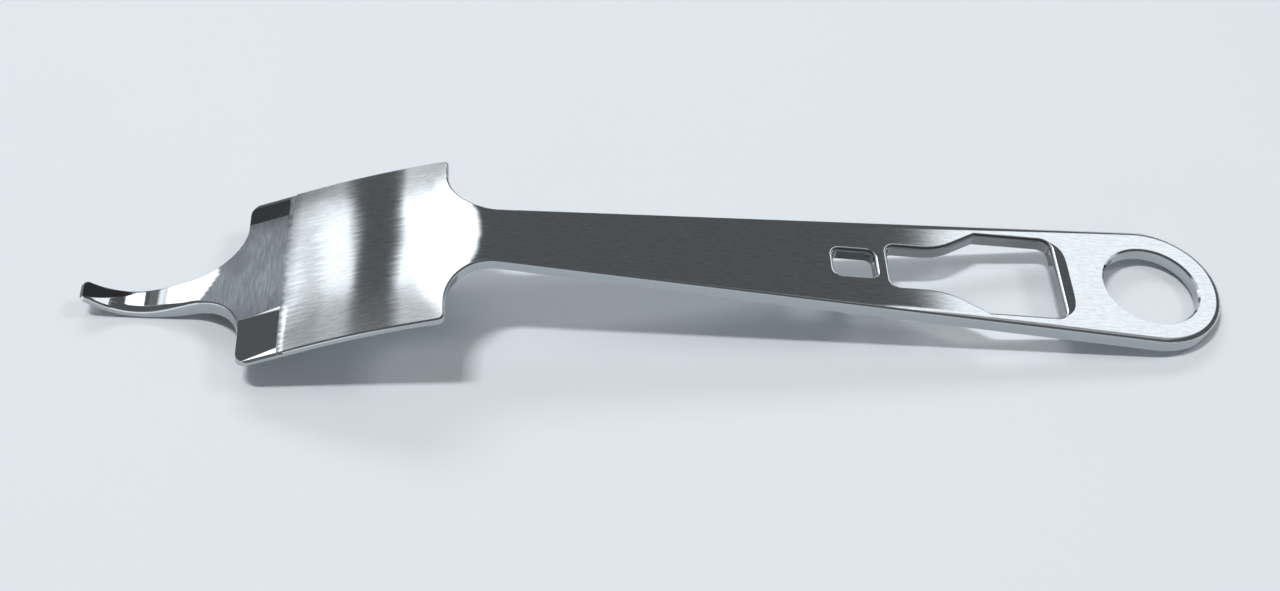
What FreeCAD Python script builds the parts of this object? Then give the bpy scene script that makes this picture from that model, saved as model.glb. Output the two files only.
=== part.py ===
import FreeCAD, Part
import math
import os
from FreeCAD import Vector

# Handheld retractor, forged and ground from one bar of stainless steel. All sizes in millimetres.
# It is drawn flat on its handle: origin in the middle of the end hole, on the handle's top face,
# +X towards the handle's end, the blade towards -X, +Z up. At the end it is laid down as it rests.

# Handle
handle_length = 142.9        # end hole to the start of the blade's bend
handle_end_radius = 15.85
hole_setback = 0.4           # the hole lies this much nearer the end than the end arc's centre
side_taper = math.radians(3.45)
handle_thickness = 3.2
neck_thickness = 2.6
neck_length = 68.0           # stretch before the bend over which the handle thins

# End hole, keyhole window and small slot, one behind the other
hole_diameter = 21.0
window_web = 10.5            # metal between the hole and the window
window_rim = 2.62            # metal beside the window's wide part, where the handle is narrowest
window_wide_length = 16.8
window_throat_width = 11.4
window_throat_length = 7.8   # straight part of the throat
shoulder_radius = 13.5
shoulder_angle = math.radians(31.0)
window_wide_corner = 2.4
window_throat_corner = 1.9
slot_web = 3.0               # metal between the window and the slot
slot_length = 9.0
slot_width = 7.2
slot_corner = 1.6

# Side profile of the blade, along the middle of its top face
bend_lead = 6.0              # straight neck drawn in one sweep with the bend, for a smooth start
bend_radius = 40.5
bend_angle = math.radians(20.2)
belly_radius = 186.0
blade_angle = math.radians(27.6)
straight_length = 32.6
tip_radius = 15.6
tip_rise = math.radians(37.0)
blade_thickness = 2.9
root_thickness = 3.3         # where the prong leaves the blade
prong_thickness = 1.65
thinned_by = math.radians(20.0)   # turn of the tip's curl by which the prong is at its thinnest
crown = 1.4                  # how much lower the top is at the blade's sides than in its middle

# Outline of the blade, seen square to the handle
blade_width = 44.6
blade_length = 40.8
neck_run = 8.2               # start of the bend to the blade's back edge
neck_flare = 10.0
back_corner = 1.3
front_corner = 3.0
front_flare = 11.2
prong_root_width = 7.2
prong_tip_width = 4.8
tip_corner = 1.1

# Mirror-ground facets on the two front corners
facet_length = 8.8
facet_width = 11.0
facet_depth = 0.12           # at the blade's side
facet_bevel = 0.45           # along each facet's outer edge

# Edges
top_round = 0.5
under_bevel = 0.25
window_round = 0.75
hole_bevel = 0.4

row_spacing = 3.0            # between the rows of points that lead the blade's curved surfaces
spare = 5.0                  # how far cutting bodies reach past the metal
reach = 60.0                 # how far they reach above and below the handle

blade_half = blade_width / 2
blade_back = handle_length + neck_run
blade_front = blade_back + blade_length


def side_half(x):
    """Half the handle's width at x."""
    return handle_end_radius / math.cos(side_taper) + math.tan(side_taper) * (x + hole_setback)


def along_blade():
    """The stretches of the side profile: length and turn of each, from the bend to the tip."""
    return [
        (bend_radius * bend_angle, bend_angle),
        (belly_radius * (blade_angle - bend_angle), blade_angle - bend_angle),
        (straight_length, 0.0),
        (tip_radius * (blade_angle + tip_rise), -blade_angle - tip_rise),
    ]


def profile(distance):
    """Point on the top's middle line at this distance from the bend's start, and its slope."""
    x, z, slope, left = -handle_length - min(distance, 0.0), 0.0, 0.0, distance
    for length, turn in along_blade():
        part = min(max(left, 0.0), length)
        if turn == 0.0 or part == 0.0:
            x -= part * math.cos(slope)
            z -= part * math.sin(slope)
        else:
            radius = length / turn
            after = slope + part / radius
            x -= radius * (math.sin(after) - math.sin(slope))
            z -= radius * (math.cos(slope) - math.cos(after))
            slope = after
        left -= length
    return Vector(x, 0, z), slope


def total_distance():
    return sum(length for length, turn in along_blade())


def tip_start():
    """Distance along the profile at which the prong starts to turn up."""
    return sum(length for length, turn in along_blade()[:-1])


def smooth(share):
    """A soft step from 0 to 1."""
    share = min(max(share, 0.0), 1.0)
    return share * share * (3 - 2 * share)


def distance_at(x):
    """Distance along the profile at which its middle line reaches x."""
    low, high = 0.0, total_distance()
    for halving in range(50):
        middle = (low + high) / 2
        if profile(middle)[0].x > x:
            low = middle
        else:
            high = middle
    return low


def along_bend(distance):
    """A soft step from 0 at the neck to 1 where the bend ends."""
    return smooth(distance / (bend_radius * bend_angle))


def along_prong(distance):
    """A soft step from 0 at the prong's root to 1 where it starts to turn up."""
    root = distance_at(-blade_front)
    return smooth((distance - root) / (tip_start() - root))


def arch_drop(distance, across):
    """How far the top lies below its middle line, this far across: nothing at neck and prong."""
    return crown * (across / blade_half) ** 2 * along_bend(distance) * (1 - along_prong(distance))


def handle_thickness_at(before_bend):
    """Metal thickness of the handle, this far before the bend."""
    return neck_thickness + (handle_thickness - neck_thickness) * min(before_bend / neck_length, 1.0)


def thickness(distance):
    """Metal thickness square to the top's middle: thickest at the prong's root, then thinning."""
    front, root = distance_at(-blade_front), distance_at(-blade_front - front_flare)
    thinned = tip_start() + tip_radius * thinned_by
    neck = handle_thickness_at(max(-distance, 0.0))
    blade = neck + (blade_thickness - neck_thickness) * along_bend(distance)
    swell = (root_thickness - blade_thickness) * smooth((distance - front) / (root - front))
    thinning = (root_thickness - prong_thickness) * smooth((distance - root) / (thinned - root))
    return blade + swell - thinning


def square_to(slope):
    """Direction square to the top face where it has this slope."""
    return Vector(-math.sin(slope), 0, math.cos(slope))


def stations():
    """Distances along the profile at which the blade's surfaces have a row of control points."""
    found = [-bend_lead, -bend_lead * 2 / 3, -bend_lead / 3, 0.0]
    start = 0.0
    for length, turn in along_blade():
        steps = math.ceil(length / row_spacing)
        found += [start + length * (i + 1) / steps for i in range(steps)]
        start += length
    return found


def top_row(distance):
    """Control points across the top: a parabola that is highest in the middle."""
    point, slope = profile(distance)
    across = blade_half + spare
    side, drop = Vector(0, across, 0), square_to(slope) * arch_drop(distance, across)
    return [point - side - drop, point + drop, point + side - drop]


def under_row(distance):
    """Control points across the flat underside."""
    point, slope = profile(distance)
    side = Vector(0, blade_half + spare, 0)
    under = point - square_to(slope) * thickness(distance)
    return [under - side, under, under + side]


def surface(rows):
    """Smooth surface led by rows of control points: cubic along the tool, parabolic across it."""
    made = Part.BSplineSurface()
    inner = len(rows) - 4
    made.buildFromPolesMultsKnots(
        rows, [4] + [1] * inner + [4], [3, 3], list(range(inner + 2)), [0, 1], False, False, 3, 2)
    return made


def blade_slab():
    """The bent slab that the blade and prong are cut from."""
    top = surface([top_row(distance) for distance in stations()])
    under = surface([under_row(distance) for distance in stations()])
    last = top.bounds()[1]
    faces = [top.toShape(), under.toShape()]
    for upper, lower in [(top.vIso(0), under.vIso(0)), (top.vIso(1), under.vIso(1)),
                         (top.uIso(0), under.uIso(0)), (top.uIso(last), under.uIso(last))]:
        faces.append(Part.makeRuledSurface(upper.toShape(), lower.toShape()))
    skin = Part.makeCompound(faces)
    skin.sewShape()
    solid = Part.makeSolid(skin.Shells[0])
    if solid.Volume < 0:
        solid.reverse()
    return solid


def handle_slab():
    """The handle: flat top, even thickness round the windows, thinning towards the neck."""
    start, end = bend_lead - handle_length, handle_end_radius + spare
    side = blade_half + spare
    corners = [
        Vector(start, -side, 0),
        Vector(end, -side, 0),
        Vector(end, -side, -handle_thickness),
        Vector(neck_length - handle_length, -side, -handle_thickness),
        Vector(start, -side, -handle_thickness_at(bend_lead)),
    ]
    face = Part.Face(Part.makePolygon(corners + corners[:1]))
    return face.extrude(Vector(0, 2 * side, 0))


def turned(centre, radius, degrees):
    angle = math.radians(degrees)
    return centre + Vector(math.cos(angle), math.sin(angle), 0) * radius


def arc(centre, radius, start, end):
    return Part.Arc(
        turned(centre, radius, start),
        turned(centre, radius, (start + end) / 2),
        turned(centre, radius, end),
    ).toShape()


def joined(curves):
    """One closed wire: the given curves with straight lines in the gaps between them."""
    edges = []
    for i, curve in enumerate(curves):
        edges.append(curve)
        gap_start = curve.lastVertex(True).Point
        gap_end = curves[(i + 1) % len(curves)].firstVertex(True).Point
        if gap_start.distanceToPoint(gap_end) > 1e-6:
            edges.append(Part.makeLine(gap_start, gap_end))
    return Part.Wire(edges)


def middle_of(edge):
    return edge.valueAt((edge.FirstParameter + edge.LastParameter) / 2)


def mirrored(curve):
    """The same line or arc on the other side of the middle line, run the other way."""
    ends = curve.valueAt(curve.LastParameter), middle_of(curve), curve.valueAt(curve.FirstParameter)
    start, middle, end = [Vector(point.x, -point.y, 0) for point in ends]
    if isinstance(curve.Curve, Part.Line):
        return Part.makeLine(start, end)
    return Part.Arc(start, middle, end).toShape()


def outline():
    """The whole tool's outline, seen square to the handle. The prong runs on past its tip."""
    taper = math.degrees(side_taper)
    end_centre = Vector(-hole_setback, 0, 0)
    neck_x = -blade_back + neck_flare
    neck_centre = Vector(neck_x, side_half(neck_x) + neck_flare / math.cos(side_taper), 0)
    back_centre = Vector(-blade_back - back_corner, blade_half - back_corner, 0)
    front_centre = Vector(-blade_front + front_corner, blade_half - front_corner, 0)
    root = Vector(-blade_front - front_flare, prong_root_width / 2, 0)
    tip = Vector(profile(total_distance())[0].x, prong_tip_width / 2, 0)
    prong = math.atan2(root.y - tip.y, root.x - tip.x)
    flare_centre = root + Vector(0, front_flare / math.cos(prong), 0)
    past_tip = tip - Vector(math.cos(prong), math.sin(prong), 0) * spare
    upper = [
        arc(neck_centre, neck_flare, 270 + taper, 180),
        arc(back_centre, back_corner, 0, 90),
        arc(front_centre, front_corner, 90, 180),
        arc(flare_centre, front_flare, 0, math.degrees(prong) - 90),
        Part.makeLine(flare_centre + Vector(math.sin(prong), -math.cos(prong), 0) * front_flare, past_tip),
    ]
    lower = [mirrored(curve) for curve in reversed(upper)]
    end = arc(end_centre, handle_end_radius, -90 - taper, 90 + taper)
    return joined(upper + lower + [end])


def prism(wire):
    """The outline or window as a body that stands square to the handle."""
    face = Part.Face(wire)
    face.translate(Vector(0, 0, -reach))
    return face.extrude(Vector(0, 0, 2 * reach))


def rounded_slot():
    left = -hole_diameter / 2 - window_web - window_length() - slot_web - slot_length
    x = left + slot_length / 2
    half_long = slot_length / 2 - slot_corner
    half_high = slot_width / 2 - slot_corner
    return joined([
        arc(Vector(x + half_long, half_high, 0), slot_corner, 0, 90),
        arc(Vector(x - half_long, half_high, 0), slot_corner, 90, 180),
        arc(Vector(x - half_long, -half_high, 0), slot_corner, 180, 270),
        arc(Vector(x + half_long, -half_high, 0), slot_corner, 270, 360),
    ])


def window_half():
    """Half the width of the window's wide part."""
    return side_half(-hole_diameter / 2 - window_web - window_wide_length) - window_rim


def shoulder_run():
    """Length and rise of the shoulder's arc, and length of the straight that follows it."""
    length = shoulder_radius * math.sin(shoulder_angle)
    rise = shoulder_radius * (1 - math.cos(shoulder_angle))
    straight = (window_half() - window_throat_width / 2 - rise) / math.tan(shoulder_angle)
    return length, rise, straight


def window_length():
    length, rise, straight = shoulder_run()
    return window_wide_length + straight + length + window_throat_length


def keyhole():
    """Keyhole window: a wide part by the hole, shoulders that flare out, and a narrower throat."""
    right = -hole_diameter / 2 - window_web
    length, rise, straight = shoulder_run()
    wide, throat = window_half(), window_throat_width / 2
    corner, small = window_wide_corner, window_throat_corner
    left = right - window_length()
    throat_end = left + window_throat_length
    shoulder_centre = Vector(throat_end, throat + shoulder_radius, 0)
    shoulder_end = Vector(throat_end + length, throat + rise, 0)
    wide_start = Vector(right - window_wide_length, wide, 0)
    upper = [
        arc(Vector(right - corner, wide - corner, 0), corner, 0, 90),
        Part.makeLine(wide_start, shoulder_end),
        arc(shoulder_centre, shoulder_radius, 270 + math.degrees(shoulder_angle), 270),
        arc(Vector(left + small, throat - small, 0), small, 90, 180),
    ]
    return joined(upper + [mirrored(curve) for curve in reversed(upper)])


def facet_cutter(side):
    """Body that grinds one front corner: flat along the blade, falling away to a bevelled side."""
    point, slope = profile(distance_at(facet_length - blade_front))
    inner = blade_half - facet_width
    inner_drop = crown * (inner / blade_half) ** 2
    roll = (crown + facet_depth - inner_drop) / facet_width
    bevel_start = blade_half - facet_bevel
    bevel_drop = inner_drop + roll * (bevel_start - inner)
    shape = [
        (inner - spare, roll * spare - inner_drop),
        (bevel_start, -bevel_drop),
        (blade_half + spare, -bevel_drop - facet_bevel - spare),
        (blade_half + spare, spare),
        (inner - spare, spare),
    ]
    along = Vector(-math.cos(slope), 0, -math.sin(slope))
    normal = square_to(slope)
    corners = [point + Vector(0, side * across, 0) + normal * height for across, height in shape]
    return Part.Face(Part.makePolygon(corners + corners[:1])).extrude(along * facet_length * 2)


def is_wall(face):
    """True for the faces that stand square to the handle, or to the top face at the prong's tip."""
    low_u, high_u, low_v, high_v = face.ParameterRange
    normal = face.normalAt((low_u + high_u) / 2, (low_v + high_v) / 2)
    end, slope = profile(total_distance())
    at_tip = face.CenterOfMass.x < end.x + prong_thickness
    return abs(normal.z) < 0.02 or (at_tip and abs(normal.dot(square_to(slope))) < 0.2)


def is_upper(point):
    """True for a point of an edge that is nearer the top face than the underside."""
    if point.x > -handle_length:
        return point.z > -neck_thickness / 2
    distance = distance_at(point.x)
    top, slope = profile(distance)
    drop = arch_drop(distance, point.y)
    return top.z - drop / math.cos(slope) - point.z < (thickness(distance) - drop) / 2


def in_windows(point):
    """True for a point on the border of the window or the slot, and not on the outline."""
    beside_hole = -handle_length < point.x < -hole_diameter / 2
    return beside_hole and abs(point.y) < side_half(point.x) - window_rim / 2


def rim(solid, upper, windows):
    """Edges between the walls and the top face or the underside, of the windows or the outline."""
    beside = {}
    for face in solid.Faces:
        wall = is_wall(face)
        for edge in face.Edges:
            beside.setdefault(edge.hashCode(), []).append(wall)
    found = []
    for edge in solid.Edges:
        middle = middle_of(edge)
        if sorted(beside[edge.hashCode()]) == [False, True] and in_windows(middle) == windows:
            if is_upper(middle) == upper:
                found.append(edge)
    return found


def tip_corner_edges(solid):
    """The two edges that stand at the corners of the prong's blunt end."""
    end = profile(total_distance())[0]
    found = []
    for edge in solid.Edges:
        middle = middle_of(edge)
        upright = abs(edge.tangentAt(edge.FirstParameter).y) < 0.3
        if middle.x < end.x + prong_thickness and upright and edge.Length < prong_thickness * 1.2:
            found.append(edge)
    return found


def eased(solid):
    """Rounds the tip's corners and the top edges, and breaks the lower edges."""
    solid = solid.makeFillet(tip_corner, tip_corner_edges(solid)).Solids[0]
    solid = solid.makeFillet(top_round, rim(solid, True, False)).Solids[0]
    solid = solid.makeChamfer(under_bevel, rim(solid, False, False)).Solids[0]
    solid = solid.makeFillet(window_round, rim(solid, True, True)).Solids[0]
    return solid.makeChamfer(under_bevel, rim(solid, False, True)).Solids[0]


def hole_cutter():
    """The end hole with a bevel at each face."""
    radius = hole_diameter / 2
    shape = [
        (0, spare), (radius + hole_bevel + spare, spare), (radius, -hole_bevel),
        (radius, hole_bevel - handle_thickness),
        (radius + hole_bevel + spare, -handle_thickness - spare), (0, -handle_thickness - spare),
    ]
    corners = [Vector(across, 0, height) for across, height in shape]
    return Part.Face(Part.makePolygon(corners + corners[:1])).revolve(Vector(), Vector(0, 0, 1), 360)


def retractor():
    """The tool drawn flat on its handle."""
    blank = handle_slab().fuse(blade_slab()).removeSplitter()
    body = blank.common(prism(outline()))
    for wire in (keyhole(), rounded_slot()):
        body = body.cut(prism(wire))
    body = eased(body.Solids[0])
    body = body.cut(hole_cutter())
    for side in (1, -1):
        body = body.cut(facet_cutter(side))
    return body.Solids[0]


def rest_tilt():
    """Tilt that puts the underside of the prong's curl and of the handle's end on one level."""
    start, slope = profile(tip_start())
    curl = start + square_to(slope) * tip_radius
    heel = Vector(handle_end_radius - hole_setback - under_bevel, 0, -handle_thickness)
    rise, run = heel.z - curl.z, heel.x - curl.x
    return math.acos(-(tip_radius + prong_thickness) / math.hypot(rise, run)) - math.atan2(run, rise)


def laid_down(solid):
    """The tool as it rests on a table, with the middle of its footprint at the origin."""
    solid.rotate(Vector(), Vector(0, 1, 0), math.degrees(rest_tilt()))
    box = solid.optimalBoundingBox(False)
    solid.translate(Vector(-(box.XMin + box.XMax) / 2, 0, -box.ZMin))
    return solid


def main():
    os.makedirs("parts", exist_ok=True)
    solid = laid_down(retractor())
    solid.exportStep("parts/retractor.step")
    box = solid.optimalBoundingBox(False)
    print("valid", solid.isValid(), "volume", round(solid.Volume, 1), "tilt", round(math.degrees(rest_tilt()), 2))
    print("length %.1f  width %.1f  height %.1f" % (box.XLength, box.YLength, box.ZLength))


main()
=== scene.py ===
import bpy
import math
from mathutils import Matrix, Vector

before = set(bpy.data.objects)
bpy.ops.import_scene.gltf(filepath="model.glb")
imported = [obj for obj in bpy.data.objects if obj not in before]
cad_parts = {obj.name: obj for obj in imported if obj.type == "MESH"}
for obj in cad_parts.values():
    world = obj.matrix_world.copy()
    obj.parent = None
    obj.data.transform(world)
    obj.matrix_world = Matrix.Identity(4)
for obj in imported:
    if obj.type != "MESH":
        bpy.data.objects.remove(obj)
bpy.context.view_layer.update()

scene = bpy.context.scene
scene.view_settings.view_transform = "Standard"


# Node trees
class Tree:
    """Adds nodes to a tree and links them."""

    def __init__(self, owner):
        owner.use_nodes = True
        self.tree = owner.node_tree
        self.tree.nodes.clear()

    def node(self, kind, inputs=None, **settings):
        made = self.tree.nodes.new(kind)
        for name, value in settings.items():
            setattr(made, name, value)
        for name, value in (inputs or {}).items():
            self.feed(made, name, value)
        return made

    def feed(self, node, name, value):
        socket = node.inputs[name]
        if isinstance(value, bpy.types.NodeSocket):
            self.tree.links.new(value, socket)
        else:
            socket.default_value = value

    def math(self, operation, *values):
        return self.node("ShaderNodeMath", dict(enumerate(values)), operation=operation).outputs[0]

    def add(self, *values):
        total = values[0]
        for value in values[1:]:
            total = self.math("ADD", total, value)
        return total

    def times(self, *values):
        product = values[0]
        for value in values[1:]:
            product = self.math("MULTIPLY", product, value)
        return product

    def less(self, first, second):
        return self.math("SUBTRACT", first, second)

    def line(self, value, slope, start):
        """slope * value + start"""
        return self.math("MULTIPLY_ADD", value, slope, start)

    def either(self, first, second):
        return self.math("MAXIMUM", first, second)

    def step(self, value, off, on):
        """0 on off's side, 1 on on's side, and soft between."""
        made = self.node("ShaderNodeMapRange", {0: value, 1: off, 2: on, 3: 0.0, 4: 1.0},
                         interpolation_type="SMOOTHSTEP", clamp=True)
        return made.outputs[0]

    def mix(self, share, first, second):
        return self.node("ShaderNodeMix", {0: share, 2: first, 3: second}, data_type="FLOAT").outputs[0]

    def mix_vector(self, share, first, second):
        return self.node("ShaderNodeMix", {0: share, 4: first, 5: second}, data_type="VECTOR").outputs[1]

    def mix_colour(self, share, first, second):
        return self.node("ShaderNodeMix", {0: share, 6: first, 7: second}, data_type="RGBA").outputs[2]

    def split(self, vector):
        return self.node("ShaderNodeSeparateXYZ", {0: vector}).outputs[:3]

    def join(self, x, y, z):
        return self.node("ShaderNodeCombineXYZ", {0: x, 1: y, 2: z}).outputs[0]

    def vector_math(self, operation, first, second=None, scale=None):
        inputs = {0: first}
        if second is not None:
            inputs[1] = second
        if scale is not None:
            inputs["Scale"] = scale
        return self.node("ShaderNodeVectorMath", inputs, operation=operation).outputs[0]

    def noise(self, place, density, detail=3.0):
        """Noise with this many features a unit in each direction."""
        scaled = self.node("ShaderNodeMapping", {"Vector": place, "Scale": density}).outputs[0]
        inputs = {"Vector": scaled, "Scale": 1.0, "Detail": detail, "Roughness": 0.6}
        return self.node("ShaderNodeTexNoise", inputs).outputs[0]

    def ramp(self, value, stops):
        made = self.node("ShaderNodeValToRGB", {0: value})
        band = made.color_ramp
        while len(band.elements) > 1:
            band.elements.remove(band.elements[-1])
        for i, (place, grey) in enumerate(stops):
            stop = band.elements[0] if i == 0 else band.elements.new(place)
            stop.position = place
            stop.color = (grey, grey, grey, 1)
        return made.outputs[0]


# Camera, at the photograph's viewing angle
camera_place = Vector((-0.02943, -0.28243, 0.31934))
camera_forward = Vector((0.05921, 0.6645, -0.74489)).normalized()
camera_right = Vector((0.99821, -0.0432, 0.04084))


def build_camera():
    data = bpy.data.cameras.new("camera")
    data.lens = 56.25
    data.sensor_width = 36
    data.clip_start = 0.01
    made = bpy.data.objects.new("camera", data)
    back = -camera_forward
    right = (camera_right - camera_right.project(back)).normalized()
    turned = Matrix((right, back.cross(right), back)).transposed()
    made.matrix_world = Matrix.Translation(camera_place) @ turned.to_4x4()
    scene.collection.objects.link(made)
    scene.camera = made


build_camera()


# World: what the metal mirrors is a dim studio with long strip lights and gaps between them
strip_light = 2.4
room_light = 0.12
horizon_light = 0.75
fill_light = 0.265          # lights the floor from all round
backdrop_light = 0.9        # what the camera sees beyond the floor
studio_tint = (0.93, 0.97, 1.0, 1)
strip_slant = 0.33          # the strips lean: their shift in x for each unit of y
strip_middle = 0.69         # y at which the stops below are true
near_share = 0.26           # brightness of the strips nearer than their lit middle
far_share = 0.28            # and beyond it

# Brightness of the strips against the direction's x: two strips with a faint gap, the blade's
# dark band, the broad light over the neck, the dark that the handle mirrors, and the last light
strip_stops = [
    (-1.0, 0), (-0.66, 0), (-0.62, 1), (-0.575, 1), (-0.56, 0.42), (-0.54, 0.42),
    (-0.528, 0.66), (-0.492, 0.66), (-0.474, 0), (-0.408, 0), (-0.390, 0.8), (-0.3, 0.9),
    (0.055, 0.9), (0.09, 0), (0.373, 0), (0.386, 0.53), (0.44, 0.51), (0.60, 0.51),
    (0.63, 0), (1.0, 0),
]

# Borders in the studio, each as the coordinate where it is off and then where it is on
lit_middle_near = (0.545, 0.595)
lit_middle_far = (0.815, 0.77)
wider_right = (-0.38, -0.2)     # beyond this x the lit middle reaches nearer
wider_by = 0.045
near_light = (0.47, 0.44)       # nearer than this, the left of the studio is one light
near_light_right = (0.1, 0.0)
outer_change = (0.6, 0.7)
over_horizon = (0.30, 0.36)
towards_horizon = (0.30, 0.16)
before_camera = (0.15, 0.3)


def build_world():
    world = bpy.data.worlds.new("studio")
    scene.world = world
    tree = Tree(world)
    path = tree.node("ShaderNodeLightPath").outputs
    strength = tree.mix(path["Is Camera Ray"], fill_light, backdrop_light)
    strength = tree.mix(path["Is Glossy Ray"], strength, mirrored_studio(tree))
    background = tree.node("ShaderNodeBackground", {"Color": studio_tint, "Strength": strength})
    tree.node("ShaderNodeOutputWorld", {"Surface": background.outputs[0]})


def mirrored_studio(tree):
    """Brightness of the studio in each direction."""
    x, y, z = tree.split(tree.node("ShaderNodeTexCoord").outputs["Generated"])
    lean = tree.line(y, -strip_slant, strip_slant * strip_middle)
    stops = [((place + 1) / 2, grey) for place, grey in strip_stops]
    strips = tree.ramp(tree.line(tree.add(x, lean), 0.5, 0.5), stops)
    near = tree.times(tree.step(y, *near_light), tree.step(x, *near_light_right))
    strips = tree.either(strips, near)
    wider = tree.times(tree.step(x, *wider_right), wider_by)
    middle = tree.times(tree.step(tree.add(y, wider), *lit_middle_near), tree.step(y, *lit_middle_far))
    outer = tree.mix(tree.step(y, *outer_change), near_share, far_share)
    above = tree.times(tree.step(z, *over_horizon), tree.step(y, *before_camera))
    lit = tree.times(strips, tree.mix(middle, outer, 1.0), above)
    studio = tree.add(tree.times(lit, strip_light), room_light)
    return tree.mix(tree.step(z, *towards_horizon), studio, horizon_light)


build_world()


# Floor
floor_size = 12.0
floor_drop = 0.0002
floor_dark = (0.74, 0.79, 0.83, 1)
floor_light = (0.78, 0.82, 0.86, 1)


def build_floor():
    half = floor_size / 2
    mesh = bpy.data.meshes.new("floor")
    corners = [(-half, -half, 0), (half, -half, 0), (half, half, 0), (-half, half, 0)]
    mesh.from_pydata(corners, [], [(0, 1, 2, 3)])
    made = bpy.data.objects.new("floor", mesh)
    made.location = (0, 0, -floor_drop)
    scene.collection.objects.link(made)
    mesh.materials.append(floor_material())


def floor_material():
    material = bpy.data.materials.new("pale_floor")
    tree = Tree(material)
    cloud = tree.noise(tree.node("ShaderNodeTexCoord").outputs["Object"], (9.0, 9.0, 9.0))
    shader = tree.node("ShaderNodeBsdfPrincipled", {
        "Base Color": tree.mix_colour(cloud, floor_dark, floor_light),
        "Roughness": 0.85,
        "Specular IOR Level": 0.2,
    })
    tree.node("ShaderNodeOutputMaterial", {"Surface": shader.outputs[0]})
    return material


build_floor()


# Lamps: they light the floor and cast the shadows, and the metal doesn't mirror them
def area_lamp(name, place, size, power):
    """Lamp that looks at the tool, with its first side level."""
    data = bpy.data.lights.new(name, "AREA")
    data.shape = "RECTANGLE"
    data.size, data.size_y = size
    data.energy = power
    made = bpy.data.objects.new(name, data)
    outward = Vector(place).normalized()
    along = (Vector((1, 0, 0)) - outward * outward.x).normalized()
    turned = Matrix((along, outward.cross(along), outward)).transposed()
    made.matrix_world = Matrix.Translation(place) @ turned.to_4x4()
    made.visible_glossy = False
    scene.collection.objects.link(made)


area_lamp("overhead_strip", (-0.50, -0.13, 2.0), (0.45, 0.14), 21.3)
area_lamp("back_softbox", (-0.30, 1.50, 1.50), (1.4, 0.6), 9.9)
area_lamp("right_softbox", (1.30, 0.15, 1.60), (0.5, 0.5), 6.1)


# Steel
# Places on the tool are in its own millimetres: u along the handle from the end hole, negative
# towards the blade, and v across. A pair is a soft border: where it is off, then where it is on.
# Tilts are slopes that lean the shading normal.
millimetre = 0.001
tool_tilt = math.radians(6.8555)
hole_place = Vector((0.10576, 0, 0.00499))
facing_up = (0.4, 0.7)            # height of the normal
facing_down = (-0.4, -0.7)

# Handle: a slight twist, and the worn border of its end
twist = 0.0007                    # tilt along for each millimetre across
twist_run = (-100.0, -60.0)
end_radius = 15.85
end_centre = -0.4
side_taper = math.radians(3.45)
worn_border = (1.7, 0.3)          # distance from the edge
worn_border_run = (-75.0, -20.0)
worn_border_tilt = 0.24
end_sides = (-1.0, 1.0)           # where the handle's straight sides meet the end's arc
end_outward = (-1.0, 3.0)
end_sideways = (-3.0, 1.0)

# Window: its end edge is rolled over in a crescent
window_edge = -21.0               # u of the end wall
window_half = 10.8
crescent_width = 3.1
crescent_bow = 6.0                # how suddenly the crescent narrows at its ends
crescent_soft = (0.0, -0.7)
crescent_end = (window_edge - 0.5, window_edge)
crescent_tilt = -0.14
# Where the walls of the window and the slot get a painted shade
openings_from = (-74.0, -73.0)
openings_to = (-15.0, -16.0)
openings_rim = (1.4, 1.6)         # distance from the handle's sides
far_wall_facing = (-0.3, -0.6)
end_wall_facing = (-0.15, -0.35)
end_wall_share = 0.6
below_face = (0.97, 0.88)

# Neck: the bend starts in a curve, later at the sides
neck_from = (-140.0, -147.0)
neck_to = (-161.0, -153.0)
neck_curve = 0.0008
neck_most = 0.10

# Brushing: lengthwise on the handle and the blade, crosswise on the blade's front
brushing_front = -183.2
ragged_by = 2.4
brushing_soft = 0.7
corner_back = brushing_front - 0.5
corner_soft = 0.1
blade_side = (-150.0, -160.0)
heavy_strokes = (-169.0, -177.0)
handle_stroke, fine_stroke, heavy_stroke, cross_stroke = 0.006, 0.014, 0.05, 0.05
darker_patch_place = (-193.8, 5.0)      # darker patch where the blade narrows
darker_patch_size = (4.0, 5.0)
darker_patch_share = 0.7
seam = (-180.6, -183.0)           # strip along the border of the two directions, darkened with painted shade
seam_near_end = (-11.8, -10.4)
border_shade_share = 0.6
grain_share, mottle_share = 0.4, 0.6
streak_share, patch_share = 0.65, 0.35
lengthwise_contrast = (0.35, 0.65)
crosswise_contrast = (0.36, 0.66)

# Ground front corners
near_crease = -11.4               # inner border of the near one
far_crease = 15.7
near_wing_tilt = -0.26
near_edge = (-191.0, -21.9)       # the near one's bright outer edge passes here
near_edge_slope = 0.17
near_edge_tilt = 0.34
near_edge_soft = (0.1, -0.1)
wedge_u = -189.0                  # painted highlight wedge along the near crease, up to here
wedge_slope = 0.16
wedge_soft = (0.05, -0.05)
wedge_from = (near_crease, near_crease + 0.1)
burr_near = (-10.6, -11.6)        # strip behind the near corner
burr_front = (brushing_front - 0.6, brushing_front - 0.4)
burr_back = (brushing_front + 1.3, brushing_front + 0.3)
burr_tilt = 0.07
flat_from = (11.2, 11.4)          # flatter strip beside the far crease
flat_to = (far_crease, far_crease - 0.2)
flat_slope, flat_start = 0.00563, -0.1055
# The far facet inside this bevel gets a painted dark reflection
far_bevel = (21.3, 20.9)

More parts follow.
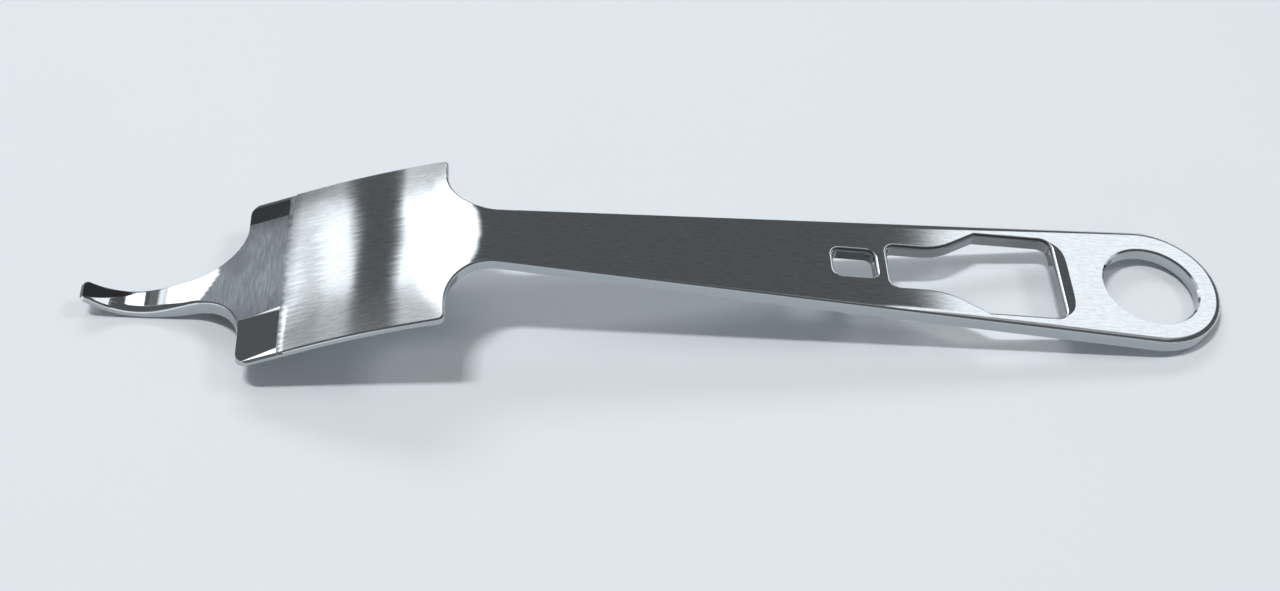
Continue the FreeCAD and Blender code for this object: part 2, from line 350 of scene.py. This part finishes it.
# Prong: polished by hand, with flats that break up what it mirrors
prong_start = -199.0
prong_slant = -0.5                # its polish starts along a slanting line
prong_slant_end = 3.0
prong_root = -203.1
prong_half = 3.6                  # at its root
prong_narrowing = 0.063
flare_radius = 11.2
near_flat_width = (0.85, 1.6)     # at the root, and further on
near_flat_widens = (-203.0, -209.0)
near_flat_end = (-219.0, -218.8)
near_flat_soft = (0.25, -0.25)
near_flat_tilt = -0.55
far_flat_tilt = -0.38
far_flat_width = (0.65, 0.45)
far_flat_run = (-208.0, -210.0)
tip_border = (-219.6, -0.2)       # the tip's far half, darkened by its tilt and a painted dark reflection, is bordered by a line through here
tip_slope = 0.42
tip_soft = (-0.2, 0.2)
tip_run = (-213.5, -216.0)
dip_start = -209.9
dip_run = 2.2
dip_end = (-212.5, -212.2)
dip_tilt = -0.11
curl_run = (-213.5, -215.5)
curl_tilt = -0.03
dull_from = (-207.6, -208.6)
dull_to = (-211.6, -211.0)

# Painted highlight on the round along the near side of the blade and the prong
round_from = (0.25, 0.35)         # height of the normal
round_to = (0.75, 0.65)
round_facing = (-0.4, -0.6)
round_start = (-160.0, -170.0)

# Density of the grain along, across and through, in features a millimetre
long_strokes = (0.035, 1.4, 1.4)
short_strokes = (3.0, 0.25, 0.25)
long_grain = (0.12, 4.0, 4.0)
mottling = (0.5, 2.0, 2.0)
patches = (0.25, 0.12, 0.12)
ragged_edge = (0.1, 0.9, 0.9)
sheen = (0.1, 3.0, 3.0)

# Base colours
brushed_dark = (0.58, 0.60, 0.62, 1)
brushed_light = (0.72, 0.745, 0.77, 1)
cross_dark = (0.150, 0.162, 0.180, 1)
cross_light = (0.235, 0.252, 0.275, 1)
# Tone of a darker patch in the crosswise grinding
darker_patch_tone = (0.13, 0.14, 0.155, 1)
# Painted shade on the strip along the border of the two brushings
border_painted_shade = (0.22, 0.23, 0.245, 1)
polished = (0.66, 0.68, 0.70, 1)
# Painted dark reflection on the far facet and the tip's far half
painted_dark_reflection = (0.20, 0.21, 0.22, 1)
# Painted highlight on the near round and the wedge by the near crease
painted_highlight_tone = (0.90, 0.92, 0.94, 1)
# Painted shade on the side walls
side_wall_painted_shade = (0.47, 0.49, 0.51, 1)
# Painted shade on the far and end walls of the window and the slot
opening_shade_tone = (0.24, 0.25, 0.26, 1)

# Roughness
handle_rough = 0.055
blade_rough, blade_rough_spread = 0.09, 0.03
crosswise_rough = 0.24
polished_rough = 0.05
dull_rough = 0.17
brushed_stretch = 0.95


class Steel:
    """Worked stainless steel: brushed handle and blade, polished prong and ground corners."""

    def __init__(self):
        self.material = bpy.data.materials.new("worked_steel")
        self.tree = tree = Tree(self.material)
        self.u, self.v, w = self.tool_coordinates()
        self.normal = tree.node("ShaderNodeNewGeometry").outputs["Normal"]
        self.normal_x, self.normal_y, self.normal_z = tree.split(self.normal)
        self.upward = tree.step(self.normal_z, *facing_up)
        flat = tree.step(tree.math("ABSOLUTE", self.normal_z), *facing_up)
        self.skin = tree.join(self.u, self.v, tree.times(w, tree.less(1.0, flat)))
        self.find_zones()
        self.finish()

    def tool_coordinates(self):
        """u, v and w in millimetres, in the tool's own directions."""
        tree = self.tree
        place = tree.node("ShaderNodeTexCoord").outputs["Object"]
        from_hole = tree.vector_math("SUBTRACT", place, hole_place)
        turned = tree.node("ShaderNodeVectorRotate", {
            "Vector": from_hole, "Axis": (0, 1, 0), "Angle": -tool_tilt,
        }, rotation_type="AXIS_ANGLE").outputs[0]
        return tree.split(tree.vector_math("SCALE", turned, scale=1 / millimetre))

    def find_zones(self):
        """Shares of the surface that are polished, brushed crosswise and brushed lengthwise."""
        tree, u, v = self.tree, self.u, self.v
        ragged = tree.line(tree.noise(self.skin, ragged_edge), ragged_by, -ragged_by / 2)
        front = self.past(tree.add(u, ragged), brushing_front, brushing_soft)
        slanting = tree.times(tree.math("MINIMUM", v, prong_slant_end), prong_slant)
        self.prong = self.past(tree.add(slanting, u, ragged), prong_start, brushing_soft)
        self.worked_front = self.past(u, corner_back, corner_soft)
        self.near_wing = tree.times(self.past(v, near_crease, 0.2), self.worked_front)
        self.far_wing = tree.times(self.past(v, far_crease, -0.1), self.worked_front)
        self.mirror = tree.either(self.prong, tree.either(self.near_wing, self.far_wing))
        bare = tree.less(1.0, self.mirror)
        self.crosswise = tree.times(front, bare)
        self.lengthwise = tree.times(tree.less(1.0, front), bare)

    def past(self, value, place, soft):
        """1 where the value is less than place, or more than it where soft is negative."""
        return self.tree.step(value, place + soft, place - soft)

    def from_line(self, place, slope):
        """How much further across than a slanting line through this place."""
        u, v = place
        return self.tree.add(self.v, self.tree.line(self.u, -slope, slope * u - v))

    def stroke_tilt(self):
        """Strokes of the brushing, as a tilt along the tool."""
        tree = self.tree
        strokes = tree.less(tree.noise(self.skin, long_strokes), 0.5)
        size = tree.mix(tree.step(self.u, *heavy_strokes), fine_stroke, heavy_stroke)
        size = tree.mix(tree.step(self.u, *blade_side), handle_stroke, size)
        across = tree.less(tree.noise(self.skin, short_strokes), 0.5)
        across = tree.times(across, self.crosswise, cross_stroke)
        return tree.add(tree.times(strokes, self.lengthwise, size), across)

    def crescent(self):
        """The window's rolled-over end edge, as a tilt along the tool."""
        tree = self.tree
        share = tree.math("ABSOLUTE", tree.times(self.v, 1 / window_half))
        bowed = tree.math("POWER", share, crescent_bow)
        inside = tree.add(self.u, tree.line(bowed, crescent_width, -window_edge - crescent_width))
        beyond_wall = tree.step(self.u, *crescent_end)
        return tree.times(tree.step(inside, *crescent_soft), beyond_wall, crescent_tilt)

    def neck_tilt(self):
        """The bend's start, as a tilt along the tool."""
        tree = self.tree
        near_neck = tree.times(tree.step(self.u, *neck_from), tree.step(self.u, *neck_to))
        curved = tree.math("MINIMUM", tree.times(self.v, self.v, neck_curve), neck_most)
        return tree.times(near_neck, curved)

    def prong_half_width(self):
        tree = self.tree
        from_root = tree.less(self.u, prong_root)
        tapered = tree.line(from_root, prong_narrowing, prong_half)
        flare = tree.math("POWER", tree.either(from_root, 0.0), 2.0)
        return tree.add(tapered, tree.times(flare, 0.5 / flare_radius))

    def prong_tilt(self):
        """Tilts along and across of the prong's flats."""
        tree = self.tree
        from_near_side = tree.add(self.v, self.prong_half_width())
        width = tree.mix(tree.step(self.u, *near_flat_widens), *near_flat_width)
        near_flat = tree.step(tree.less(from_near_side, width), *near_flat_soft)
        near_flat = tree.times(near_flat, tree.step(self.u, *near_flat_end), near_flat_tilt)
        across = tree.add(near_flat, tree.times(self.dark_tip(), far_flat_tilt))
        dip = tree.either(tree.line(self.u, -1 / dip_run, dip_start / dip_run), 0.0)
        dip = tree.times(tree.math("MINIMUM", dip, 1.0), tree.step(self.u, *dip_end), dip_tilt)
        along = tree.add(dip, tree.times(tree.step(self.u, *curl_run), curl_tilt))
        return along, tree.times(self.prong, across)

    def dark_tip(self):
        """The far half of the tip and the far edge behind it, which mirror nothing bright; the tone also
        paints a dark reflection on them.
        """
        tree = self.tree
        tip = tree.step(self.from_line(tip_border, tip_slope), *tip_soft)
        tip = tree.times(tip, tree.step(self.u, *tip_run))
        edge = tree.step(tree.less(self.prong_half_width(), self.v), *far_flat_width)
        return tree.either(tip, tree.times(edge, tree.step(self.u, *far_flat_run)))

    def wing_tilt(self):
        """The ground corners and the strips beside them, as a tilt across the tool."""
        tree, u, v = self.tree, self.u, self.v
        edge = tree.step(self.from_line(near_edge, near_edge_slope), *near_edge_soft)
        edge = tree.times(edge, self.near_wing, near_edge_tilt)
        burr = tree.times(tree.step(u, *burr_front), tree.step(u, *burr_back), tree.step(v, *burr_near))
        burr = tree.times(burr, burr_tilt)
        beside = tree.times(tree.step(v, *flat_from), tree.step(v, *flat_to), self.worked_front)
        flatter = tree.times(beside, tree.line(v, flat_slope, flat_start))
        return tree.add(tree.times(self.near_wing, near_wing_tilt), edge, burr, flatter)

    def border_tilt(self):
        """Worn border of the handle's end, as tilts along and across."""
        tree, u, v = self.tree, self.u, self.v
        from_centre = tree.less(u, end_centre)
        reach = tree.math("SQRT", tree.add(tree.times(from_centre, from_centre), tree.times(v, v)))
        side = tree.line(from_centre, math.sin(side_taper), end_radius)
        sideways = tree.times(tree.math("ABSOLUTE", v), math.cos(side_taper))
        at_end = tree.step(from_centre, *end_sides)
        inside = tree.mix(at_end, tree.less(side, sideways), tree.less(end_radius, reach))
        worn = tree.times(tree.step(inside, *worn_border), tree.step(u, *worn_border_run))
        worn = tree.times(worn, worn_border_tilt)
        out_x = tree.times(tree.math("DIVIDE", from_centre, reach), tree.step(from_centre, *end_outward))
        out_y = tree.math("DIVIDE", v, reach)
        out_y = tree.mix(tree.step(from_centre, *end_sideways), tree.math("SIGN", v), out_y)
        return tree.times(worn, out_x), tree.times(worn, out_y)

    def bent_normal(self):
        """The surface's normal with all the tilts."""
        tree = self.tree
        prong_along, prong_across = self.prong_tilt()
        border_along, border_across = self.border_tilt()
        twisted = tree.times(self.v, tree.step(self.u, *twist_run), twist)
        along = tree.add(self.stroke_tilt(), self.crescent(), self.neck_tilt(), twisted)
        along = tree.add(along, prong_along, border_along)
        across = tree.add(prong_across, self.wing_tilt(), border_across)
        tilt = tree.vector_math("SCALE", tree.join(along, across, 0.0), scale=self.upward)
        return tree.vector_math("NORMALIZE", tree.vector_math("ADD", self.normal, tilt))

    def tone(self):
        """Base colour of the metal, with painted shade on the walls and a border strip, painted
        highlights, and painted dark reflections.
        """
        tree = self.tree
        colour = tree.mix_colour(self.crosswise, self.lengthwise_tone(), self.crosswise_tone())
        colour = tree.mix_colour(self.mirror, colour, polished)
        # Painted dark reflection on the far facet and the tip's far half
        far_facet = tree.times(self.far_wing, tree.step(self.v, *far_bevel))
        painted_dark_share = tree.either(far_facet, tree.times(self.prong, self.dark_tip()))
        colour = tree.mix_colour(painted_dark_share, colour, painted_dark_reflection)
        # Painted shade: the side walls get a darker tone than the faces
        faces = tree.either(self.upward, tree.step(self.normal_z, *facing_down))
        colour = tree.mix_colour(tree.less(1.0, faces), colour, side_wall_painted_shade)
        # Painted highlights on the near round and the wedge
        colour = tree.mix_colour(tree.either(self.painted_wedge_highlight(), self.painted_edge_highlight()), colour, painted_highlight_tone)
        # Painted shade on the walls of the window and the slot
        return tree.mix_colour(self.painted_opening_shade(), colour, opening_shade_tone)

    def lengthwise_tone(self):
        tree = self.tree
        grain = tree.times(tree.noise(self.skin, long_grain), grain_share)
        mottle = tree.times(tree.noise(self.skin, mottling, detail=4.0), mottle_share)
        share = tree.step(tree.add(grain, mottle), *lengthwise_contrast)
        brushed = tree.mix_colour(share, brushed_dark, brushed_light)
        # Painted shade on the strip along the border of the two brushings
        strip_share = tree.times(tree.step(self.u, *seam), tree.step(self.v, *seam_near_end), border_shade_share)
        return tree.mix_colour(strip_share, brushed, border_painted_shade)

    def crosswise_tone(self):
        tree = self.tree
        streaks = tree.times(tree.noise(self.skin, short_strokes), streak_share)
        patch = tree.times(tree.noise(self.skin, patches), patch_share)
        share = tree.step(tree.add(streaks, patch), *crosswise_contrast)
        return tree.mix_colour(self.darker_patch(), tree.mix_colour(share, cross_dark, cross_light), darker_patch_tone)

    def darker_patch(self):
        """Darker patch of the crosswise grinding where the blade narrows to the prong."""
        tree = self.tree
        (u, v), (length, width) = darker_patch_place, darker_patch_size
        along = tree.line(self.u, 1 / length, -u / length)
        across = tree.line(self.v, 1 / width, -v / width)
        far = tree.add(tree.times(along, along), tree.times(across, across))
        return tree.times(tree.step(far, 1.0, 0.0), darker_patch_share)

    def painted_wedge_highlight(self):
        """Painted highlight on the small wedge that the grinding left along the near crease."""
        tree = self.tree
        inside = tree.step(self.from_line((wedge_u, near_crease), wedge_slope), *wedge_soft)
        return tree.times(inside, tree.step(self.v, *wedge_from), self.worked_front)

    def painted_edge_highlight(self):
        """Painted highlight on the round along the near side of the blade and the prong."""
        tree = self.tree
        rounded = tree.times(tree.step(self.normal_z, *round_from), tree.step(self.normal_z, *round_to))
        facing = tree.step(self.normal_y, *round_facing)
        return tree.times(rounded, facing, tree.step(self.u, *round_start))

    def painted_opening_shade(self):
        """Far and end walls of the window and the slot, given a painted shade darker than the ground
        faces.
        """
        tree, u, v = self.tree, self.u, self.v
        side = tree.line(tree.less(u, end_centre), math.tan(side_taper), end_radius)
        inside = tree.step(tree.less(side, tree.math("ABSOLUTE", v)), *openings_rim)
        within = tree.times(inside, tree.step(u, *openings_from), tree.step(u, *openings_to))
        far_wall = tree.step(self.normal_y, *far_wall_facing)
        end_wall = tree.times(tree.step(self.normal_x, *end_wall_facing), end_wall_share)
        return tree.times(within, tree.either(far_wall, end_wall), tree.step(self.normal_z, *below_face))

    def roughness(self):
        tree = self.tree
        rough = tree.line(tree.noise(self.skin, sheen), blade_rough_spread, blade_rough)
        rough = tree.mix(tree.step(self.u, *blade_side), handle_rough, rough)
        rough = tree.mix(self.crosswise, rough, crosswise_rough)
        strip_share = tree.times(tree.step(self.u, *dull_from), tree.step(self.u, *dull_to))
        return tree.mix(self.mirror, rough, tree.mix(strip_share, polished_rough, dull_rough))

    def finish(self):
        tree = self.tree
        normal = self.bent_normal()
        groove = tree.mix_vector(self.crosswise, (1.0, 0.0, 0.01), (0.01, 1.0, 0.0))
        shader = tree.node("ShaderNodeBsdfPrincipled", {
            "Base Color": self.tone(),
            "Metallic": 1.0,
            "Roughness": self.roughness(),
            "Anisotropic": brushed_stretch,
            "Tangent": tree.vector_math("CROSS_PRODUCT", normal, groove),
            "Normal": normal,
        })
        tree.node("ShaderNodeOutputMaterial", {"Surface": shader.outputs[0]})


steel = Steel().material
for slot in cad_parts["retractor"].material_slots:
    slot.material = steel
